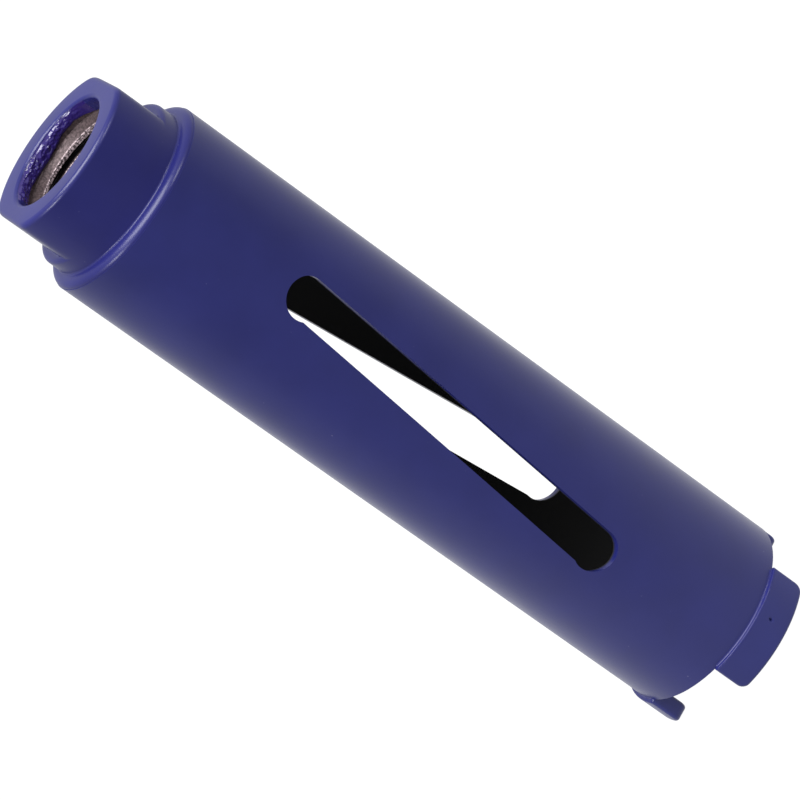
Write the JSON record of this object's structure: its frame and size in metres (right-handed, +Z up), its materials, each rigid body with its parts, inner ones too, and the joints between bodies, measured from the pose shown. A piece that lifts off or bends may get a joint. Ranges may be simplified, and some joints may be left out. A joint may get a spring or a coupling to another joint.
{
  "type": "diamond core bit",
  "caption": "Slotted steel tube core bit with curved diamond segments round its lower rim and a threaded hub with spanner flats.",
  "frame": {"origin": "on the barrel's axis, level with the cutting face of the segments that the bit stands on", "axes": "+Z runs up the axis from the cutting face to the hub; the hub's spanner flats face +X and -X; one slot faces -Y and the other +Y"},
  "size_m": [0.0369, 0.0372, 0.152],
  "materials": {
    "hub_paint": "satin blue-violet paint",
    "tube_paint": "satin blue-violet paint",
    "segment_paint": "satin blue paint over diamond grit"
  },
  "bodies": {
    "root": {"hub": "hub_paint", "barrel_tube": "tube_paint", "segment_1": "segment_paint", "segment_2": "segment_paint", "segment_3": "segment_paint"}
  },
  "joints": []
}
